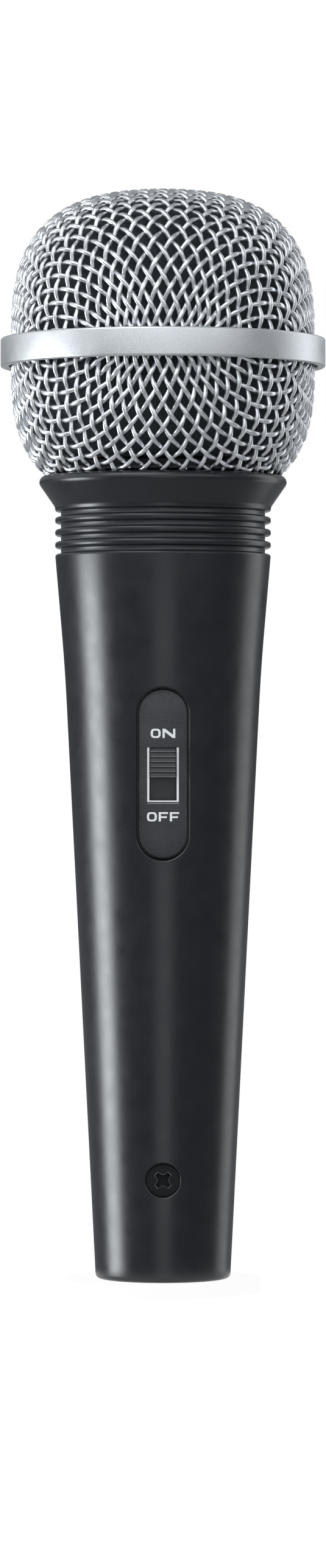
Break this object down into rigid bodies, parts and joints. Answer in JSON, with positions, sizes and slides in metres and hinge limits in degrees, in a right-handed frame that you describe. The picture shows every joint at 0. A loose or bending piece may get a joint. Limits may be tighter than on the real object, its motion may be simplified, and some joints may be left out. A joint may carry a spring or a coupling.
{
  "type": "dynamic microphone",
  "caption": "Hand-held dynamic microphone: round woven wire grille with a satin band, black tapered handle with grip ribs, slide switch on the front and a pin connector in the end.",
  "frame": {"origin": "centre of the handle's flat end face, which is the lowest point of the part", "axes": "+Z along the handle's axis towards the ball, -Y out of the switch, +X to the right of someone facing the switch"},
  "size_m": [0.0534, 0.0534, 0.1785],
  "materials": {
    "handle_paint": "satin black enamel with a fine grain",
    "bright_wire": "satin plated wire",
    "satin_band": "satin plated, fine grain",
    "plated_steel": "plated",
    "black_foam": "open-cell foam",
    "black_rubber": "matt",
    "black_plastic": "moulded",
    "soft_iron": "turned",
    "magnet_alloy": "ground",
    "copper_winding": "enamelled wire",
    "clear_film": "thin film",
    "grey_felt": "felt",
    "tinned_brass": "tinned",
    "silver_pin": "silver plated",
    "grained_plate": "coarse grain",
    "button_plastic": "satin",
    "phenolic_board": "cut board",
    "black_screw": "blackened steel",
    "red_lead": "sleeve",
    "white_lead": "sleeve"
  },
  "bodies": {
    "housing": {"handle": "handle_paint", "shock_mount": "black_rubber", "capsule_body": "black_plastic", "capsule_rear_cover": "black_plastic", "yoke": "soft_iron", "magnet": "magnet_alloy", "pole_piece": "soft_iron", "top_plate": "soft_iron", "voice_coil": "copper_winding", "diaphragm_ring": "black_plastic", "diaphragm": "clear_film", "front_felt": "grey_felt", "front_cap": "black_plastic", "capsule_terminal_hot": "tinned_brass", "capsule_terminal_cold": "tinned_brass", "switch_plate": "grained_plate", "switch_frame": "plated_steel", "switch_base": "phenolic_board", "switch_terminal_1": "tinned_brass", "switch_terminal_2": "tinned_brass", "switch_terminal_3": "tinned_brass", "switch_screw_upper": "plated_steel", "switch_screw_lower": "plated_steel", "connector_insert": "black_plastic", "connector_screw": "black_screw", "contact_pin_1": "silver_pin", "contact_pin_2": "silver_pin", "contact_pin_3": "silver_pin", "ground_spring": "tinned_brass", "lead_capsule_hot": "red_lead", "lead_switch_hot": "red_lead", "lead_capsule_cold": "white_lead"},
    "slider": {"switch_button": "button_plastic", "switch_contact": "tinned_brass"},
    "foam": {"foam_liner": "black_foam"},
    "grille": {"grille_dome": "bright_wire", "grille_bowl": "bright_wire", "grille_band": "satin_band", "grille_ring": "plated_steel"}
  },
  "joints": [
    {"name": "switch_slide", "type": "slide", "parent": "housing", "child": "slider", "axis": [0, -0.0504, 0.9987], "range_m": [-0.0036, 0]},
    {"name": "grille_lift", "type": "slide", "parent": "housing", "child": "foam", "axis": [0, 0, 1], "range_m": [0, 0.0035]},
    {"name": "grille_turn", "type": "hinge", "parent": "foam", "child": "grille", "pos_m": [0, 0, 0.1317], "axis": [0, 0, 1], "range_deg": [0, 1260]}
  ],
  "couplings": [
    {"joint": "grille_lift", "follows": "grille_turn", "m_per_rad": 0.00015915}
  ]
}
